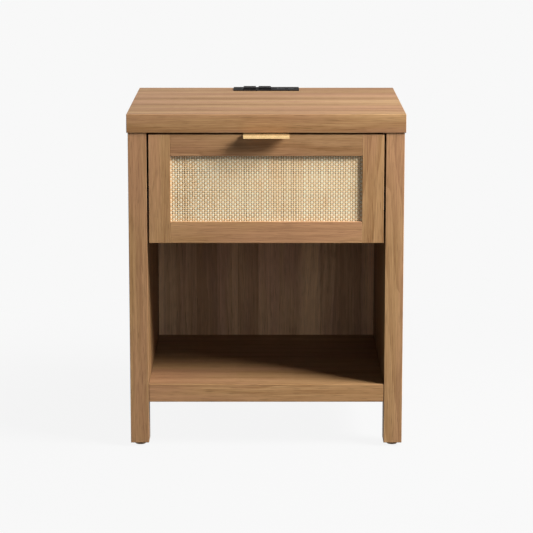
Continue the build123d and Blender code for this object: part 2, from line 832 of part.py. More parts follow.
def build_cabinet(nodes):
    """The fixed boards, legs, glides and their fasteners."""
    made, bores = cabinet_fasteners()
    glides, nails, nail_bores = glides_and_nails()
    for name, solids in made.items():
        nodes[name] = group(solids)
    nodes["foot_glides"] = group(glides)
    nodes["glide_nails"] = group(nails)
    slide_bores = [bore for screw, bore in slide_screws(1)[0]]
    leg_bores = bores["leg"] + nail_bores + slide_bores

    screws = station_screws()
    nodes["station_screws"] = group([screw for screw, bore in screws])
    notch = station_notch() + [bore for screw, bore in screws]
    nodes["top_panel"] = top_panel(bores["top"], notch)
    nodes["back_panel"] = back_panel(bores["back"])
    nodes["bottom_shelf"] = bottom_shelf(bores["shelf"])
    right_side = {
        "front_leg": leg(front_y, side_front_y, leg_bores),
        "rear_leg": leg(side_back_y, rear_y, leg_bores + [back_groove()]),
        "side_panel": side_panel(bores["side"] + slide_bores),
    }
    for name, solid in right_side.items():
        nodes[name + "_right"] = solid
        nodes[name + "_left"] = mirrored(solid)


def build_station(nodes):
    """The charging station's plate, housing and working pieces."""
    nodes["station_plate"] = station_plate()
    nodes["station_housing"] = station_housing([bore for screw, bore in station_screws()])
    nodes["outlet_face_left"] = outlet_face(outlet_x[0], -1)
    nodes["outlet_face_right"] = outlet_face(outlet_x[1], 1)
    nodes["outlet_contacts"] = group(outlet_contacts())
    nodes["usb_a_port"] = usb_port(usb_a_x, usb_a_size)
    nodes["usb_c_port"] = usb_port(usb_c_x, usb_c_size)
    nodes["usb_board"] = usb_board()
    nodes["cable_gland"] = cable_gland()


def build_drawer(nodes):
    """The drawer's front, box and pull with their fasteners."""
    dowels, dowel_bores = frame_dowels()
    front_fixings = front_screws()
    box_fixings = box_screws()
    pull_fixings = pull_screws()
    nodes["frame_dowels"] = group(dowels)
    nodes["drawer_front_screws"] = group([screw for screw, bore in front_fixings])
    nodes["drawer_box_screws"] = group([screw for screw, bore in box_fixings])
    nodes["pull_screws"] = group([screw for screw, bore in pull_fixings])

    front_bores = [bore for screw, bore in front_fixings]
    pull_bores = [bore for screw, bore in pull_fixings]
    tools = dowel_bores + pull_bores
    nodes["drawer_rail_top"] = frame_member(-frame_inner_x, frame_inner_x, opening_top,
                                            front_top, tools)
    nodes["drawer_rail_bottom"] = frame_member(-frame_inner_x, frame_inner_x, front_bottom,
                                               opening_bottom, tools)
    stile = frame_member(frame_inner_x, front_half, front_bottom, front_top, tools)
    nodes["drawer_stile_right"] = stile
    nodes["drawer_stile_left"] = mirrored(stile)
    nodes["cane_webbing"] = cane_layer(cane_y, backing_y)
    nodes["cane_backing_board"] = less(cane_layer(backing_y, front_back_y), front_bores)
    nodes["drawer_pull"] = drawer_pull(pull_bores)

    box_bores = [bore for screw, bore in box_fixings]
    slide_bores = [bore for screw, bore in slide_screws(1)[1]]
    side = box_side(box_bores + slide_bores)
    nodes["drawer_side_right"] = side
    nodes["drawer_side_left"] = mirrored(side)
    nodes["drawer_box_front"] = box_end(front_back_y, front_back_y + box_board,
                                        box_bores + front_bores)
    nodes["drawer_box_back"] = box_end(box_back_y - box_board, box_back_y, box_bores)
    nodes["drawer_floor"] = floor_space(0)


def build_slides(nodes):
    """The two ball slides: members, cages, balls and screws."""
    cabinet_bores = [bore for screw, bore in slide_screws(1)[0]]
    drawer_bores = [bore for screw, bore in slide_screws(1)[1]]
    right_side = {
        "slide_cabinet_member": cabinet_member(cabinet_bores),
        "slide_middle_member": middle_member(),
        "slide_drawer_member": drawer_member(drawer_bores),
        "slide_outer_cage": ball_cage(outer_cage_web, outer_balls),
        "slide_inner_cage": ball_cage(inner_cage_web, inner_balls),
        "slide_outer_balls": group(balls(outer_balls)),
        "slide_inner_balls": group(balls(inner_balls)),
    }
    for name, solid in right_side.items():
        nodes[name + "_right"] = solid
        nodes[name + "_left"] = mirrored(solid)
    both = [slide_screws(side) for side in (-1, 1)]
    nodes["slide_cabinet_screws"] = group([screw for pair in both for screw, bore in pair[0]])
    nodes["slide_drawer_screws"] = group([screw for pair in both for screw, bore in pair[1]])


nodes = {}
build_cabinet(nodes)
build_station(nodes)
build_drawer(nodes)
build_slides(nodes)

os.makedirs("parts", exist_ok=True)
for name, shape in nodes.items():
    export_step(shape, "parts/" + name + ".step")
print(len(nodes), "nodes; drawer travel", slide_travel, "mm")
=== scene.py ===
import math
import random

import bpy
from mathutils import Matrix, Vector, noise


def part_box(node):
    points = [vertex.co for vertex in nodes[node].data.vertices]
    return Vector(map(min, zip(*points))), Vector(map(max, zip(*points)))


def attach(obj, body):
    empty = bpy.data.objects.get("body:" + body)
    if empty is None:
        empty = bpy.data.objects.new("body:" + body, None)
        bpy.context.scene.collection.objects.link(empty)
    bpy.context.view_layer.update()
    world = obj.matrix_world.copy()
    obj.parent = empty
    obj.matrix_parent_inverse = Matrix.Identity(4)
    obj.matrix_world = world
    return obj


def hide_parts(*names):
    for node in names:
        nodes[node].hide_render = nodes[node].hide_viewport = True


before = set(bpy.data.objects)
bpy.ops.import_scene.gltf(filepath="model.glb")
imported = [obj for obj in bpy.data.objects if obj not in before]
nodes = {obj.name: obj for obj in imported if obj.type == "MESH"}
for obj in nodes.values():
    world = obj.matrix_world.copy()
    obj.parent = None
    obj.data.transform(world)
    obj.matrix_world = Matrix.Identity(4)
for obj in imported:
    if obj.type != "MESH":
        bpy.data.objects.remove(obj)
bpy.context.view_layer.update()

# Bedside cabinet with one drawer, a woven cane front and an open shelf. Metres, +Z up, front at -Y.

scene = bpy.context.scene
scene.view_settings.view_transform = "Standard"
bpy.ops.object.select_all(action="DESELECT")


# Shader tree helpers

def addNode(tree, kind, values=None, **settings):
    node = tree.nodes.new(kind)
    for key, value in settings.items():
        setattr(node, key, value)
    for key, value in (values or {}).items():
        feed(tree, value, node.inputs[key])
    return node


def feed(tree, value, socket):
    if isinstance(value, bpy.types.NodeSocket):
        tree.links.new(value, socket)
    else:
        socket.default_value = value


def calc(tree, operation, first, second=0.0, third=0.0, clamp=False):
    node = tree.nodes.new("ShaderNodeMath")
    node.operation = operation
    node.use_clamp = clamp
    for socket, value in zip(node.inputs, (first, second, third)):
        feed(tree, value, socket)
    return node.outputs[0]


def vectorCalc(tree, operation, first, second=(0, 0, 0)):
    node = tree.nodes.new("ShaderNodeVectorMath")
    node.operation = operation
    feed(tree, first, node.inputs[0])
    feed(tree, second, node.inputs[1])
    return node.outputs["Value"] if operation == "DOT_PRODUCT" else node.outputs[0]


def mixColour(tree, factor, first, second, blend="MIX"):
    node = tree.nodes.new("ShaderNodeMix")
    node.data_type = "RGBA"
    node.blend_type = blend
    feed(tree, factor, node.inputs[0])
    feed(tree, first, node.inputs[6])
    feed(tree, second, node.inputs[7])
    return node.outputs[2]


def remap(tree, value, low, high, newLow=0.0, newHigh=1.0):
    node = addNode(tree, "ShaderNodeMapRange", interpolation_type="SMOOTHSTEP")
    for socket, item in zip(node.inputs, (value, low, high, newLow, newHigh)):
        feed(tree, item, socket)
    return node.outputs[0]


def speckle(tree, vector, stretch, detail=2.0, roughness=0.5, shift=(0, 0, 0)):
    place = vectorCalc(tree, "MULTIPLY_ADD", vector, stretch)
    place.node.inputs[2].default_value = shift
    values = {"Vector": place, "Scale": 1.0, "Detail": detail, "Roughness": roughness}
    return addNode(tree, "ShaderNodeTexNoise", values)


def startGroup(name, inputs, outputs):
    tree = bpy.data.node_groups.new(name, "ShaderNodeTree")
    kinds = {"value": "NodeSocketFloat", "vector": "NodeSocketVector", "colour": "NodeSocketColor"}
    for socketName, kind in inputs.items():
        tree.interface.new_socket(socketName, in_out="INPUT", socket_type=kinds[kind])
    for socketName, kind in outputs.items():
        tree.interface.new_socket(socketName, in_out="OUTPUT", socket_type=kinds[kind])
    entry = tree.nodes.new("NodeGroupInput").outputs
    leave = tree.nodes.new("NodeGroupOutput").inputs
    return tree, entry, leave


def placeGroup(tree, group, values):
    node = tree.nodes.new("ShaderNodeGroup")
    node.node_tree = group
    for key, value in values.items():
        feed(tree, value, node.inputs[key])
    return node.outputs


def startMaterial(name, **shaderValues):
    material = bpy.data.materials.new(name)
    material.use_nodes = True
    tree = material.node_tree
    shader = tree.nodes["Principled BSDF"]
    for key, value in shaderValues.items():
        shader.inputs[key.replace("_", " ")].default_value = value
    return material, tree, shader


def addBump(tree, shader, height, distance, strength=1.0):
    bump = addNode(tree, "ShaderNodeBump", {"Height": height, "Distance": distance})
    bump.inputs["Strength"].default_value = strength
    tree.links.new(bump.outputs[0], shader.inputs["Normal"])


def grey(value):
    return (value, value, value, 1.0)


def scaledNode(tree, colour, factor):
    return mixColour(tree, 1.0, colour, grey(factor), "MULTIPLY")


def looksAlong(tree, coords, axis, sign):  # 1 on faces turned that way, else 0
    side = addNode(tree, "ShaderNodeSeparateXYZ", {"Vector": coords["Normal"]}).outputs[axis]
    return calc(tree, "GREATER_THAN", calc(tree, "MULTIPLY", side, sign), 0.7)


# Shared effects

boardPrint = {
    "wideStrip": 0.061,        # widths of the strips the face is matched from
    "slimStrip": 0.037,
    "lineWander": 0.012,       # how far a grain line strays
    "archWander": 0.016,
    "archScale": 26.0,
    "archStretch": 0.09,       # arches are drawn out along the grain
}


def buildBoardGrain():
    inputs = {"Vector": "vector", "Facing": "vector", "Light": "colour", "Dark": "colour",
              "Rose": "colour", "Bands": "value", "Streaks": "value", "Figure": "value",
              "Pores": "value", "Staves": "value"}
    outputs = {"Colour": "colour", "Roughness": "value", "Height": "value"}
    tree, entry, leave = startGroup("boardGrain", inputs, outputs)
    # the edge strip on a board's ends runs along the edge
    apart = addNode(tree, "ShaderNodeSeparateXYZ", {"Vector": entry["Vector"]}).outputs
    turned = addNode(tree, "ShaderNodeCombineXYZ", {"X": apart["Y"], "Y": apart["X"], "Z": apart["Z"]})
    facing = addNode(tree, "ShaderNodeSeparateXYZ", {"Vector": entry["Facing"]}).outputs
    isEnd = calc(tree, "GREATER_THAN", calc(tree, "ABSOLUTE", facing["X"]), 0.75)
    pick = tree.nodes.new("ShaderNodeMix")
    pick.data_type = "VECTOR"
    feed(tree, isEnd, pick.inputs[0])
    feed(tree, entry["Vector"], pick.inputs[4])
    feed(tree, turned.outputs[0], pick.inputs[5])
    place = straight = pick.outputs[1]
    # lines wander a little
    wander = speckle(tree, place, (2.2, 9, 9), 2.0)
    drift = vectorCalc(tree, "SUBTRACT", wander.outputs["Color"], (0.5, 0.5, 0.5))
    stray = (0.0, boardPrint["lineWander"], boardPrint["lineWander"])
    place = vectorCalc(tree, "ADD", place, vectorCalc(tree, "MULTIPLY", drift, stray))
    broad = speckle(tree, place, (1.3, 34, 34), 3.0, 0.55).outputs["Fac"]
    streak = speckle(tree, place, (2.6, 190, 190), 5.0, 0.75, (3, 1, 7)).outputs["Fac"]
    thread = speckle(tree, place, (11, 620, 620), 3.0, 0.7, (8, 2, 4)).outputs["Fac"]
    fibre = speckle(tree, place, (16, 1300, 1300), 1.0, 0.5, (5, 9, 2)).outputs["Fac"]
    rose = speckle(tree, place, (3.0, 27, 27), 2.0, 0.5, (11, 4, 8)).outputs["Fac"]
    pore = speckle(tree, place, (45, 1700, 1700), 0.0, 0.5, (2, 6, 3)).outputs["Fac"]
    pore = calc(tree, "MULTIPLY", remap(tree, pore, 0.6, 0.72), entry["Pores"])
    # the printed face is matched from strips of uneven width
    across = vectorCalc(tree, "MULTIPLY", straight, (0, 1, 1))
    wide, slim = boardPrint["wideStrip"], boardPrint["slimStrip"]
    wideGrid = vectorCalc(tree, "SNAP", across, (1, wide, wide))
    slimGrid = vectorCalc(tree, "SNAP", across, (1, slim, slim))
    stave = addNode(tree, "ShaderNodeTexWhiteNoise", {"Vector": wideGrid}).outputs["Value"]
    slimStave = addNode(tree, "ShaderNodeTexWhiteNoise", {"Vector": slimGrid}).outputs["Value"]
    stave = calc(tree, "MULTIPLY_ADD", slimStave, 0.5, calc(tree, "MULTIPLY", stave, 0.5))
    # flat-sawn figure: long nested arches
    ripple = speckle(tree, place, (5, 60, 60), 2.0, 0.6, (1, 2, 3)).outputs["Color"]
    ripple = vectorCalc(tree, "SUBTRACT", ripple, (0.5, 0.5, 0.5))
    stray = (0.0, boardPrint["archWander"], boardPrint["archWander"])
    ripple = vectorCalc(tree, "MULTIPLY", ripple, stray)
    drawn = vectorCalc(tree, "ADD", place, ripple)
    drawn = vectorCalc(tree, "MULTIPLY", drawn, (boardPrint["archStretch"], 1.0, 1.0))
    values = {"Vector": drawn, "Scale": boardPrint["archScale"], "Distortion": 2.5, "Detail": 3.0,
              "Detail Scale": 2.2}
    wave = addNode(tree, "ShaderNodeTexWave", values, wave_type="RINGS", wave_profile="SAW",
                   rings_direction="SPHERICAL").outputs["Fac"]
    patch = remap(tree, speckle(tree, place, (1.5, 14, 14), 1.0, 0.5, (9, 3, 1)).outputs["Fac"], 0.42, 0.6)
    wave = calc(tree, "MULTIPLY_ADD", calc(tree, "SUBTRACT", wave, 0.5), patch, 0.5)
    tone = calc(tree, "MULTIPLY_ADD", calc(tree, "SUBTRACT", broad, 0.5), entry["Bands"], 0.5)
    tone = calc(tree, "MULTIPLY_ADD", calc(tree, "SUBTRACT", streak, 0.5), entry["Streaks"], tone)
    tone = calc(tree, "MULTIPLY_ADD", calc(tree, "SUBTRACT", wave, 0.5), entry["Figure"], tone)
    tone = calc(tree, "MULTIPLY_ADD", calc(tree, "SUBTRACT", stave, 0.5), entry["Staves"], tone)
    tone = calc(tree, "MULTIPLY_ADD", calc(tree, "SUBTRACT", thread, 0.5), 1.15, tone)
    tone = calc(tree, "MULTIPLY_ADD", calc(tree, "SUBTRACT", fibre, 0.5), 0.45, tone, clamp=True)
    colour = mixColour(tree, tone, entry["Dark"], entry["Light"])
    blush = calc(tree, "MULTIPLY_ADD", calc(tree, "SUBTRACT", slimStave, 0.5), 0.12, rose)
    rosy = mixColour(tree, tone, scaledNode(tree, entry["Rose"], 0.62), scaledNode(tree, entry["Rose"], 1.2))
    colour = mixColour(tree, remap(tree, blush, 0.4, 0.64, 0.0, 0.6), colour, rosy)
    colour = mixColour(tree, pore, colour, mixColour(tree, 1.0, colour, grey(0.62), "MULTIPLY"))
    feed(tree, colour, leave["Colour"])
    rough = calc(tree, "MULTIPLY_ADD", tone, -0.1, 0.56)
    feed(tree, calc(tree, "MULTIPLY_ADD", pore, 0.12, rough), leave["Roughness"])
    height = calc(tree, "MULTIPLY_ADD", pore, -0.8, calc(tree, "MULTIPLY", fibre, 0.5))
    feed(tree, calc(tree, "MULTIPLY_ADD", streak, 0.4, height), leave["Height"])
    return tree


# painted highlight: edges found with the Bevel node are lightened, standing in for light caught on eased
# edges
def buildEdgeHighlight():
    inputs = {"Vector": "vector", "Amount": "value"}
    tree, entry, leave = startGroup("edgeHighlight", inputs, {"Mask": "value"})
    rounded = addNode(tree, "ShaderNodeBevel", {"Radius": 0.0016}, samples=4).outputs[0]
    flat = addNode(tree, "ShaderNodeNewGeometry").outputs["Normal"]
    bend = calc(tree, "SUBTRACT", 1.0, vectorCalc(tree, "DOT_PRODUCT", rounded, flat))
    patch = speckle(tree, entry["Vector"], (60, 60, 60), 3.0, 0.6).outputs["Fac"]
    mask = calc(tree, "MULTIPLY", remap(tree, bend, 0.02, 0.25), remap(tree, patch, 0.3, 0.65, 0.45, 1.0))
    feed(tree, calc(tree, "MULTIPLY", mask, entry["Amount"], clamp=True), leave["Mask"])
    return tree


def buildFineScuff():
    inputs = {"Vector": "vector", "Stretch": "vector", "Base": "value", "Spread": "value"}
    outputs = {"Roughness": "value", "Height": "value", "Mask": "value"}
    tree, entry, leave = startGroup("fineScuff", inputs, outputs)
    place = vectorCalc(tree, "MULTIPLY", entry["Vector"], entry["Stretch"])
    lines = speckle(tree, place, (1, 1, 1), 3.0, 0.6).outputs["Fac"]
    smudge = speckle(tree, entry["Vector"], (45, 45, 45), 2.0, 0.5, (3, 3, 3)).outputs["Fac"]
    mask = calc(tree, "ADD", calc(tree, "MULTIPLY", lines, 0.65), calc(tree, "MULTIPLY", smudge, 0.35))
    centred = calc(tree, "SUBTRACT", mask, 0.5)
    rough = calc(tree, "MULTIPLY_ADD", centred, entry["Spread"], entry["Base"], clamp=True)
    feed(tree, rough, leave["Roughness"])
    feed(tree, lines, leave["Height"])
    feed(tree, mask, leave["Mask"])
    return tree


boardGrain = buildBoardGrain()
edgeHighlight = buildEdgeHighlight()
fineScuff = buildFineScuff()
print("stage: shared effects ready")


# Oak finish: one material for each board, with its own stretch of the pattern

oakColours = {
    "light": (0.589, 0.355, 0.168, 1.0),
    "dark": (0.277, 0.136, 0.0535, 1.0),
    "rose": (0.480, 0.244, 0.132, 1.0),
    # colour of the painted edge highlight
    "paintedHighlight": (0.66, 0.445, 0.258, 1.0),
}
redOak = {                                # a redder strip of the same paper
    "light": (0.590, 0.346, 0.167, 1.0),
    "dark": (0.277, 0.132, 0.0535, 1.0),
    "rose": (0.488, 0.240, 0.130, 1.0),
    # colour of the painted edge highlight
    "paintedHighlight": (0.66, 0.445, 0.258, 1.0),
}
grainTurn = {                             # turns a board's grain onto X
    "x": (0.0, 0.0, 0.0),
    "y": (0.0, 0.0, -math.pi / 2),
    "z": (0.0, math.pi / 2, 0.0),
}


def scaled(colour, factor):
    return tuple(channel * factor for channel in colour[:3]) + (1.0,)


def boardSpace(tree, grain, place):
    coords = tree.nodes.new("ShaderNodeTexCoord").outputs
    settings = {"Vector": coords["Object"], "Location": place, "Rotation": grainTurn[grain]}
    vector = addNode(tree, "ShaderNodeMapping", settings).outputs[0]
    settings = {"Vector": coords["Normal"], "Rotation": grainTurn[grain]}
    facing = addNode(tree, "ShaderNodeMapping", settings, vector_type="VECTOR").outputs[0]
    return coords, vector, facing


def oakMaterial(name, grain="x", place=(0, 0, 0), shade=1.0, bands=1.1, streaks=0.8,
                figure=0.3, pores=0.7, staves=0.2, paintedFrontLight=1.0, paintedShadeSide=0, paintedShadeTone=0.55,
                colours=oakColours, gloss=0.15):
    material, tree, shader = startMaterial(name, Specular_IOR_Level=gloss)
    coords, vector, facing = boardSpace(tree, grain, place)
    values = {"Vector": vector, "Facing": facing, "Light": scaled(colours["light"], shade),
              "Dark": scaled(colours["dark"], shade), "Rose": scaled(colours["rose"], shade),
              "Bands": bands, "Streaks": streaks, "Figure": figure, "Pores": pores,
              "Staves": staves}
    grainOut = placeGroup(tree, boardGrain, values)
    highlightMask = placeGroup(tree, edgeHighlight, {"Vector": coords["Object"], "Amount": 0.32})
    # painted highlight on the board's edges
    colour = mixColour(tree, highlightMask["Mask"], grainOut["Colour"], scaled(colours["paintedHighlight"], shade))
    if paintedFrontLight != 1.0:                  # painted light: faces turned to the front are lightened against the board's upward faces, standing in for the balance of light between them
        isPaintedFront = looksAlong(tree, coords, "Y", -1)
        colour = mixColour(tree, isPaintedFront, colour, scaledNode(tree, colour, paintedFrontLight))
    if paintedShadeSide:                         # painted shade: faces turned towards the compartment are darkened, standing in for shade the lamps don't put there
        isPaintedShadeSide = looksAlong(tree, coords, "X", paintedShadeSide)
        colour = mixColour(tree, isPaintedShadeSide, colour, scaledNode(tree, colour, paintedShadeTone))
    feed(tree, colour, shader.inputs["Base Color"])
    feed(tree, grainOut["Roughness"], shader.inputs["Roughness"])
    addBump(tree, shader, grainOut["Height"], 0.00012, 0.5)
    return material


oakBoards = {
    # top and shelf: their low shade is painted shade on the upward faces, and the front-edge factor paints
    # light back onto their front edges
    "top_panel": {"place": (0.3, 0.11, 0.02), "bands": 1.7, "streaks": 0.9, "figure": 0.25,
                  "staves": 0.12, "shade": 0.715, "paintedFrontLight": 1.345},
    # the inner-side settings below paint shade on faces turned towards the compartment; the side panels' low
    # shade also partly darkens the compartment's walls as painted shade
    "front_leg_left": {"grain": "z", "place": (0.2, 0.31, 0.4), "bands": 0.8, "shade": 0.93,
                       "paintedShadeSide": 1},
    "front_leg_right": {"grain": "z", "place": (1.1, 0.22, 0.1), "bands": 0.8, "shade": 0.93,
                        "paintedShadeSide": -1},
    "rear_leg_left": {"grain": "z", "place": (2.3, 0.5, 0.7), "bands": 0.8, "shade": 0.93,
                      "paintedShadeSide": 1},
    "rear_leg_right": {"grain": "z", "place": (3.1, 0.1, 0.9), "bands": 0.8, "shade": 0.93,
                       "paintedShadeSide": -1},
    "side_panel_left": {"grain": "z", "place": (-0.2, 0.04, 0.3), "figure": 0.35, "shade": 0.75,
                        "paintedShadeSide": 1, "paintedShadeTone": 0.97},
    "side_panel_right": {"grain": "z", "place": (-0.35, -0.03, -0.2), "figure": 0.35, "shade": 0.75,
                         "paintedShadeSide": -1, "paintedShadeTone": 0.75},
    "bottom_shelf": {"place": (0.05, 0.21, 0.6), "shade": 0.66, "paintedFrontLight": 1.63},
    "drawer_stile_left": {"grain": "z", "place": (4.2, 0.7, 0.2), "bands": 0.8, "shade": 0.96},
    "drawer_stile_right": {"grain": "z", "place": (5.3, 0.4, 0.5), "bands": 0.8, "shade": 0.98},
    "drawer_rail_top": {"place": (6.1, 0.8, 0.1), "shade": 0.82, "figure": 0.6, "colours": redOak},
    "drawer_rail_bottom": {"place": (7.4, 0.3, 0.3), "shade": 1.0},
}


def coat(nodeName, material):
    piece = nodes[nodeName]
    if not piece.material_slots:
        piece.data.materials.append(material)
    for slot in piece.material_slots:
        slot.material = material


for nodeName, settings in oakBoards.items():
    coat(nodeName, oakMaterial("oak_" + nodeName, **settings))


# Back panel: oak paper in front, bare brown board behind

backColours = {
    "light": (0.83, 0.565, 0.338, 1.0),
    "dark": (0.425, 0.253, 0.143, 1.0),
    "rose": (0.60, 0.358, 0.250, 1.0),
    # colour of the painted edge highlight
    "paintedHighlight": (0.44, 0.32, 0.21, 1.0),
}


def backPanelMaterial():
    material = oakMaterial("oak_back_panel", grain="z", place=(-0.33, -0.19, 0.06), bands=1.0,
                           streaks=0.35, figure=0.35, staves=1.35, colours=backColours)
    tree = material.node_tree
    shader = tree.nodes["Principled BSDF"]
    coords = tree.nodes.new("ShaderNodeTexCoord").outputs
    behind = looksAlong(tree, coords, "Y", 1)
    chips = speckle(tree, coords["Object"], (420, 420, 420), 3.0, 0.7).outputs["Fac"]
    bare = mixColour(tree, remap(tree, chips, 0.3, 0.7), (0.142, 0.078, 0.04, 1), (0.24, 0.142, 0.078, 1))
    oak = shader.inputs["Base Color"].links[0].from_socket
    feed(tree, mixColour(tree, behind, oak, bare), shader.inputs["Base Color"])
    return material


coat("back_panel", backPanelMaterial())


# Drawer box boards: pale paper-faced boards

drawerColours = {
    "light": (0.47, 0.355, 0.235, 1.0),
    "dark": (0.35, 0.245, 0.148, 1.0),
    "rose": (0.435, 0.305, 0.20, 1.0),
    # colour of the painted edge highlight
    "paintedHighlight": (0.52, 0.41, 0.28, 1.0),
}
drawerBoards = {
    "drawer_box_front": {"grain": "x", "place": (0.4, 0.9, 0.1)},
    "drawer_box_back": {"grain": "x", "place": (1.4, 0.2, 0.5)},
    "drawer_side_left": {"grain": "y", "place": (2.4, 0.6, 0.2)},
    "drawer_side_right": {"grain": "y", "place": (3.4, 0.4, 0.7)},
    "drawer_floor": {"grain": "y", "place": (4.4, 0.1, 0.3)},
    # painted shade: the backing board is darkened so the holes in the cane read as shadowed
    "cane_backing_board": {"grain": "x", "place": (5.4, 0.1, 0.3), "shade": 0.12},
}
for nodeName, settings in drawerBoards.items():
    material = oakMaterial("board_" + nodeName, colours=drawerColours, bands=0.7, streaks=0.4,
                           figure=0.1, pores=0.3, **settings)
    coat(nodeName, material)


# Beech dowels

def beechMaterial():
    material, tree, shader = startMaterial("beech", Specular_IOR_Level=0.3)
    coords = tree.nodes.new("ShaderNodeTexCoord").outputs
    fleck = speckle(tree, coords["Object"], (600, 600, 600), 3.0, 0.6).outputs["Fac"]
    broad = speckle(tree, coords["Object"], (90, 90, 90), 2.0).outputs["Fac"]
    tone = calc(tree, "MULTIPLY_ADD", fleck, 0.6, calc(tree, "MULTIPLY", broad, 0.4))
    colour = mixColour(tree, tone, (0.44, 0.27, 0.14, 1), (0.68, 0.48, 0.29, 1))
    feed(tree, colour, shader.inputs["Base Color"])
    feed(tree, remap(tree, fleck, 0.3, 0.7, 0.55, 0.75), shader.inputs["Roughness"])
    addBump(tree, shader, fleck, 0.0001)
    return material


# Metals: one maker with the colours and the brushing direction of each

def metalMaterial(name, dark, light, rough, spread=0.25, stretch=(900, 900, 900), bump=0.00001,
                  gloss=0.5, metallic=1.0, paintedGapShade=False):
    material, tree, shader = startMaterial(name, Metallic=metallic, Specular_IOR_Level=gloss)
    coords = tree.nodes.new("ShaderNodeTexCoord").outputs
    values = {"Vector": coords["Object"], "Stretch": stretch, "Base": rough, "Spread": spread}
    scuff = placeGroup(tree, fineScuff, values)
    highlightMask = placeGroup(tree, edgeHighlight, {"Vector": coords["Object"], "Amount": 0.5})
    colour = mixColour(tree, scuff["Mask"], dark, light)
    # painted highlight on the edges
    colour = mixColour(tree, highlightMask["Mask"], colour, scaled(light, 1.08))
    if paintedGapShade:                         # painted shade: front ends darkened so that what shows through the gaps reads as shadow
        colour = mixColour(tree, looksAlong(tree, coords, "Y", -1), colour, grey(0.03))
    feed(tree, colour, shader.inputs["Base Color"])
    feed(tree, scuff["Roughness"], shader.inputs["Roughness"])
    addBump(tree, shader, scuff["Height"], bump, 0.6)
    return material


brass = metalMaterial("satin_brass", (0.79, 0.515, 0.225, 1), (0.87, 0.60, 0.30, 1), 0.27, 0.18,
                      (30, 1500, 1500), metallic=0.66)
contactBrass = metalMaterial("contact_brass", (0.55, 0.38, 0.13, 1), (0.8, 0.58, 0.25, 1), 0.35)
screwBrass = metalMaterial("brass_screw", (0.52, 0.36, 0.13, 1), (0.78, 0.58, 0.27, 1), 0.33)
zincSteel = metalMaterial("zinc_steel", (0.30, 0.305, 0.31, 1), (0.50, 0.505, 0.51, 1), 0.42, 0.3,
                          (500, 25, 500))
# the slides carry painted shade on their front ends
slideSteel = metalMaterial("slide_steel", (0.30, 0.305, 0.31, 1), (0.50, 0.505, 0.51, 1), 0.42, 0.3,
                           (500, 25, 500), paintedGapShade=True)
camZinc = metalMaterial("cam_zinc", (0.40, 0.40, 0.41, 1), (0.6, 0.6, 0.6, 1), 0.45, 0.3)
ballSteel = metalMaterial("ball_steel", (0.6, 0.6, 0.62, 1), (0.8, 0.8, 0.81, 1), 0.12, 0.08)
portSteel = metalMaterial("port_steel", (0.22, 0.22, 0.225, 1), (0.36, 0.36, 0.37, 1), 0.35, 0.2)


# Moulded plastics

def plasticMaterial(name, dark, light, rough, texture=2600.0, bump=0.00003, gloss=0.35):
    material, tree, shader = startMaterial(name, Specular_IOR_Level=gloss)
    coords = tree.nodes.new("ShaderNodeTexCoord").outputs
    stretch = (texture, texture, texture)
    values = {"Vector": coords["Object"], "Stretch": stretch, "Base": rough, "Spread": 0.3}
    scuff = placeGroup(tree, fineScuff, values)
    highlightMask = placeGroup(tree, edgeHighlight, {"Vector": coords["Object"], "Amount": 0.5})
    colour = mixColour(tree, scuff["Mask"], dark, light)
    # painted highlight on the edges
    colour = mixColour(tree, highlightMask["Mask"], colour, scaled(light, 1.9))
    feed(tree, colour, shader.inputs["Base Color"])
    feed(tree, scuff["Roughness"], shader.inputs["Roughness"])
    addBump(tree, shader, scuff["Height"], bump)
    return material


blackPlastic = plasticMaterial("black_plastic", (0.006, 0.005, 0.0052, 1), (0.016, 0.0142, 0.0146, 1), 0.64,
                               gloss=0.05)
# the glides' brown is partly painted light: paler than the plastic's own tone, standing in for light thrown
# up from the floor
brownPlastic = plasticMaterial("brown_plastic", (0.48, 0.31, 0.19, 1), (0.64, 0.44, 0.29, 1), 0.5)


# Circuit board: green lacquer with paler tracks

def circuitMaterial():
    material, tree, shader = startMaterial("circuit_board", Specular_IOR_Level=0.5)
    coords = tree.nodes.new("ShaderNodeTexCoord").outputs
    values = {"Vector": coords["Object"], "Scale": 420.0}
    cells = addNode(tree, "ShaderNodeTexVoronoi", values, distance="CHEBYCHEV")
    track = remap(tree, cells.outputs["Distance"], 0.42, 0.5)
    colour = mixColour(tree, track, (0.01, 0.075, 0.03, 1), (0.05, 0.19, 0.07, 1))
    feed(tree, colour, shader.inputs["Base Color"])
    feed(tree, remap(tree, track, 0.0, 1.0, 0.3, 0.45), shader.inputs["Roughness"])
    addBump(tree, shader, track, 0.00004)
    return material


finishOf = {
    brass: ["drawer_pull"],
    contactBrass: ["outlet_contacts"],
    screwBrass: ["pull_screws"],
    zincSteel: ["glide_nails", "cam_bolts", "back_panel_screws", "station_screws",
                "slide_cabinet_screws", "slide_drawer_screws", "drawer_box_screws",
                "drawer_front_screws"],
    slideSteel: ["slide_" + part + side for side in ("_left", "_right")
                 for part in ("cabinet_member", "drawer_member", "middle_member", "outer_cage",
                              "inner_cage")],
    camZinc: ["cam_lock_nuts"],
    ballSteel: ["slide_" + part + side for side in ("_left", "_right")
                for part in ("outer_balls", "inner_balls")],
    portSteel: ["usb_a_port", "usb_c_port"],
    blackPlastic: ["station_plate", "station_housing", "outlet_face_left", "outlet_face_right",
                   "cable_gland"],
    brownPlastic: ["foot_glides"],
    beechMaterial(): ["wood_dowels", "frame_dowels"],
    circuitMaterial(): ["usb_board"],
}
for material, names in finishOf.items():
    for nodeName in names:
        coat(nodeName, material)
print("stage: CAD nodes have their finishes")


# Woven cane panel

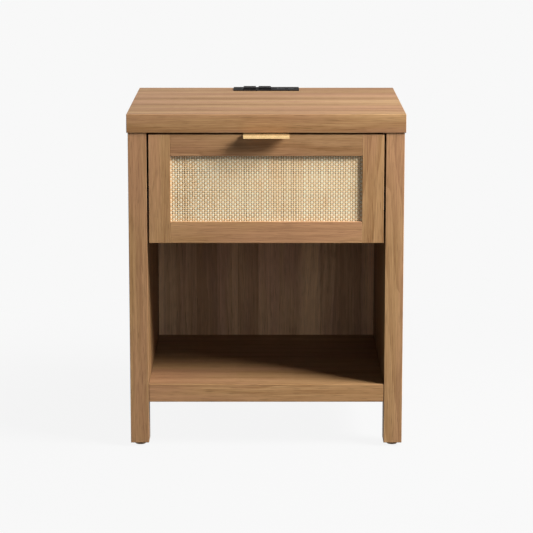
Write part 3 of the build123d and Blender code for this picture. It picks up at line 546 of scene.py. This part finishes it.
caneSheet = {
    "uprightPitch": 0.0040,
    "crossPitch": 0.00345,
    "uprightWidth": 0.0030,
    "crossWidth": 0.00245,
    "strandThick": 0.00040,
    "wave": 0.00043,           # how far a strand rises and dips
    "crown": 0.00014,          # a strand's edges lie lower than its middle
    "wander": 0.00037,         # how far a strand strays sideways
    "stepsPerCrossing": 2,
    "margin": 0.0004,          # kept free inside the layer's edge
    "frontGap": 0.0001,
    "slimShare": 0.09,         # share of strands that are much thinner
    "slimWidth": 0.74,
    "paintedDipShade": 0.66,           # painted shade: a strand is darkened where it dips under
    "uprightTones": ((0.95, 0.70, 0.42, 1), (1.0, 0.93, 0.70, 1)),
    # cross strands are darker than uprights: partly their own tone, partly painted shade standing in for how
    # the light falls on the weave
    "crossTones": ((0.74, 0.455, 0.21, 1), (0.95, 0.695, 0.395, 1)),
}


def caneMaterial(name, stretch, dull, bright):
    material, tree, shader = startMaterial(name, Specular_IOR_Level=0.35)
    coords = tree.nodes.new("ShaderNodeTexCoord").outputs
    tone = addNode(tree, "ShaderNodeAttribute", attribute_name="strandTone").outputs["Fac"]
    fibre = speckle(tree, coords["Object"], stretch, 3.0, 0.6).outputs["Fac"]
    patch = speckle(tree, coords["Object"], (35, 35, 35), 2.0, 0.5).outputs["Fac"]
    fleck = speckle(tree, coords["Object"], (240, 240, 240), 1.0, 0.5, (2, 7, 4)).outputs["Fac"]
    blend = calc(tree, "MULTIPLY_ADD", calc(tree, "SUBTRACT", fibre, 0.5), 1.1, tone)
    blend = calc(tree, "MULTIPLY_ADD", calc(tree, "SUBTRACT", fleck, 0.5), 0.9, blend)
    blend = calc(tree, "MULTIPLY_ADD", calc(tree, "SUBTRACT", patch, 0.5), 0.9, blend, clamp=True)
    colour = mixColour(tree, blend, dull, bright)
    rise = addNode(tree, "ShaderNodeAttribute", attribute_name="strandRise").outputs["Fac"]
    # painted shade: colour darkened where the strand lies low in the weave
    colour = mixColour(tree, rise, scaledNode(tree, colour, caneSheet["paintedDipShade"]), colour)
    feed(tree, colour, shader.inputs["Base Color"])
    feed(tree, remap(tree, fibre, 0.3, 0.7, 0.38, 0.6), shader.inputs["Roughness"])
    addBump(tree, shader, fibre, 0.00005)
    return material


def buildStrip(name, length, width, steps, upright):
    bpy.ops.object.select_all(action="DESELECT")
    bpy.ops.mesh.primitive_grid_add(x_subdivisions=3, y_subdivisions=steps, size=1.0)
    strip = bpy.context.active_object
    strip.name = name
    bpy.ops.object.mode_set(mode="EDIT")
    bpy.ops.mesh.select_all(action="SELECT")
    bpy.ops.transform.resize(value=(width, length, 1.0))
    bpy.ops.object.mode_set(mode="OBJECT")
    turn = (math.pi / 2, 0.0, 0.0) if upright else (math.pi / 2, math.pi / 2, 0.0)
    strip.rotation_euler = turn
    bpy.ops.object.transform_apply(location=False, rotation=True, scale=False)
    return strip


def buildCane():
    low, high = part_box("cane_webbing")
    middle = (low + high) / 2
    draw = random.Random(11)
    size = caneSheet
    halfWidth = (high.x - low.x) / 2 - size["margin"]
    halfHeight = (high.z - low.z) / 2 - size["margin"]
    uprights = int(2 * halfWidth / size["uprightPitch"])
    crosses = int(2 * halfHeight / size["crossPitch"])
    steps = size["stepsPerCrossing"]
    plane = low.y + size["wave"] + size["strandThick"] / 2 + size["frontGap"]
    upMaterial = caneMaterial("cane_upright", (900, 900, 40), *size["uprightTones"])
    crossMaterial = caneMaterial("cane_across", (40, 900, 900), *size["crossTones"])
    upStrip = buildStrip("cane_upright", 2 * halfHeight, size["uprightWidth"],
                         int(2 * halfHeight / size["crossPitch"] * steps), True)
    crossStrip = buildStrip("cane_across", 2 * halfWidth, size["crossWidth"],
                            int(2 * halfWidth / size["uprightPitch"] * steps), False)
    strands = []
    for kind, count in (("up", uprights), ("across", crosses)):
        upright = kind == "up"
        master = upStrip if upright else crossStrip
        for index in range(count):
            strand = master.copy()
            strand.data = master.data.copy()
            scene.collection.objects.link(strand)
            strand.data.materials.append(upMaterial if upright else crossMaterial)
            tone = strand.data.attributes.new("strandTone", "FLOAT", "POINT")
            height = strand.data.attributes.new("strandRise", "FLOAT", "POINT")
            # random tone per strand; the lower mean for cross strands is partly painted shade
            shade = min(1.0, max(0.0, draw.gauss(0.66 if upright else 0.5, 0.13)))
            slim = draw.uniform(0.86, 1.05)
            if draw.random() < size["slimShare"]:
                slim *= size["slimWidth"]
            pitch = size["uprightPitch"] if upright else size["crossPitch"]
            otherPitch = size["crossPitch"] if upright else size["uprightPitch"]
            half = (size["uprightWidth"] if upright else size["crossWidth"]) / 2
            home = (index - (count - 1) / 2) * pitch
            otherHome = ((crosses if upright else uprights) - 1) / 2 * otherPitch
            side = -1.0 if upright else 1.0
            shades, heights = [], []
            for vertex in strand.data.vertices:
                point = vertex.co.copy()
                across, along = (point.x, point.z) if upright else (point.z, point.x)
                stray = noise.noise(Vector((index * 3.7, along * 22.0, 5.0 if upright else 9.0)))
                phase = math.pi * ((along + otherHome) / otherPitch + index)
                rise = side * size["wave"] * math.cos(phase)
                dip = size["crown"] * (across / half) ** 2
                offset = home + across * slim + stray * size["wander"]
                depth = plane + rise + dip
                if upright:
                    vertex.co = (middle.x + offset, depth, middle.z + along)
                else:
                    vertex.co = (middle.x + along, depth, middle.z + offset)
                shades.append(shade)
                heights.append(0.5 - 0.5 * rise / size["wave"])
            tone.data.foreach_set("value", shades)
            height.data.foreach_set("value", heights)
            strands.append(strand)
    for master in (upStrip, crossStrip):
        bpy.data.objects.remove(master)
    bpy.ops.object.select_all(action="DESELECT")
    for strand in strands:
        strand.select_set(True)
    cane = strands[0]
    bpy.context.view_layer.objects.active = cane
    bpy.ops.object.join()
    cane.name = "cane_weave"
    thicken = cane.modifiers.new("thickness", "SOLIDIFY")
    thicken.thickness = size["strandThick"]
    thicken.offset = 0.0
    bpy.ops.object.modifier_apply(modifier="thickness")
    bpy.ops.object.shade_smooth_by_angle(angle=math.radians(50))
    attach(cane, "drawer")
    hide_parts("cane_webbing")
    print("stage: cane woven,", uprights, "by", crosses, "strands,", len(cane.data.polygons), "faces")


buildCane()


# Floor, light and camera

floorLook = {
    "size": 60.0,
    "drop": 0.0003,            # just under the glides
    "pale": 0.9387,
    "lit": 0.61,               # the part that takes shadows
    "shadowShare": 0.045,
    "fade": (0.3, 1.1),        # distance over which the shadow goes
    "bounce": 0.10,            # what it throws back at the cabinet
}


def buildFloor():
    bpy.ops.object.select_all(action="DESELECT")
    bpy.ops.mesh.primitive_plane_add(size=floorLook["size"], location=(0, 0, 0))
    floor = bpy.context.active_object
    floor.name = "studio_floor"
    floor.location.z = -floorLook["drop"]
    material = bpy.data.materials.new("studio_floor")
    material.use_nodes = True
    tree = material.node_tree
    tree.nodes.clear()
    out = tree.nodes.new("ShaderNodeOutputMaterial")
    seen = addNode(tree, "ShaderNodeEmission", {"Color": grey(floorLook["pale"]), "Strength": 1.0})
    shaded = addNode(tree, "ShaderNodeBsdfDiffuse", {"Color": grey(floorLook["lit"])})
    mixed = tree.nodes.new("ShaderNodeMixShader")
    coords = tree.nodes.new("ShaderNodeTexCoord").outputs
    away = addNode(tree, "ShaderNodeVectorMath", {0: coords["Object"]}, operation="LENGTH").outputs["Value"]
    share = remap(tree, away, *floorLook["fade"], floorLook["shadowShare"], 0.0)
    feed(tree, share, mixed.inputs[0])
    tree.links.new(seen.outputs[0], mixed.inputs[1])
    tree.links.new(shaded.outputs[0], mixed.inputs[2])
    bounce = addNode(tree, "ShaderNodeBsdfDiffuse", {"Color": grey(floorLook["bounce"])})
    path = tree.nodes.new("ShaderNodeLightPath")
    last = tree.nodes.new("ShaderNodeMixShader")
    direct = calc(tree, "MAXIMUM", path.outputs["Is Camera Ray"], path.outputs["Is Glossy Ray"])
    tree.links.new(direct, last.inputs[0])
    tree.links.new(bounce.outputs[0], last.inputs[1])
    tree.links.new(mixed.outputs[0], last.inputs[2])
    tree.links.new(last.outputs[0], out.inputs["Surface"])
    floor.data.materials.append(material)


studioLight = {
    "aim": (0.0, 0.0, 0.28),
    "key": {"toward": (2.0, -0.96, 1.8), "distance": 3.2, "size": 1.35, "power": 251.0,
            "glint": False},
    "fill": {"toward": (0.22, -2.0, 0.42), "distance": 3.4, "size": 1.1, "power": 9.2},
    "back": {"toward": (-1.6, 2.2, 0.15), "distance": 3.2, "size": 2.0, "power": 69.0},
    "ambient": 0.017,
    "mirrored": 0.6,          # what glossy faces see of the studio
    "backdrop": 0.9387,
}


def addLamp(name, settings):
    aim = Vector(studioLight["aim"])
    toward = Vector(settings["toward"]).normalized()
    place = aim + toward * settings["distance"]
    bpy.ops.object.light_add(type="AREA", location=place)
    lamp = bpy.context.active_object
    lamp.name = name
    lamp.data.shape = "SQUARE"
    lamp.data.size = settings["size"]
    lamp.data.energy = settings["power"]
    lamp.visible_glossy = settings.get("glint", True)
    lamp.rotation_euler = (-toward).to_track_quat("-Z", "Y").to_euler()


def buildWorld():
    world = bpy.data.worlds.new("studio")
    scene.world = world
    world.use_nodes = True
    tree = world.node_tree
    tree.nodes.clear()
    out = tree.nodes.new("ShaderNodeOutputWorld")
    path = tree.nodes.new("ShaderNodeLightPath")
    isGlossy = path.outputs["Is Glossy Ray"]
    level = remap(tree, isGlossy, 0.0, 1.0, studioLight["ambient"], studioLight["mirrored"])
    soft = addNode(tree, "ShaderNodeBackground", {"Color": grey(1.0), "Strength": level})
    seen = addNode(tree, "ShaderNodeBackground", {"Color": grey(studioLight["backdrop"]), "Strength": 1.0})
    mixed = tree.nodes.new("ShaderNodeMixShader")
    tree.links.new(path.outputs["Is Camera Ray"], mixed.inputs[0])
    tree.links.new(soft.outputs[0], mixed.inputs[1])
    tree.links.new(seen.outputs[0], mixed.inputs[2])
    tree.links.new(mixed.outputs[0], out.inputs["Surface"])


cameraSetup = {"place": (0.0004, -3.864, 0.987), "pitchDown": 10.568, "lens": 155.4}


def buildCamera():
    tilt = math.radians(90.0 - cameraSetup["pitchDown"])
    bpy.ops.object.camera_add(location=cameraSetup["place"], rotation=(tilt, 0.0, 0.0))
    camera = bpy.context.active_object
    camera.name = "camera"
    camera.data.lens = cameraSetup["lens"]
    camera.data.sensor_width = 36.0
    scene.camera = camera


buildFloor()
for lampName in ("key", "fill", "back"):
    addLamp(lampName, studioLight[lampName])
buildWorld()
buildCamera()
print("stage: floor, light and camera ready")
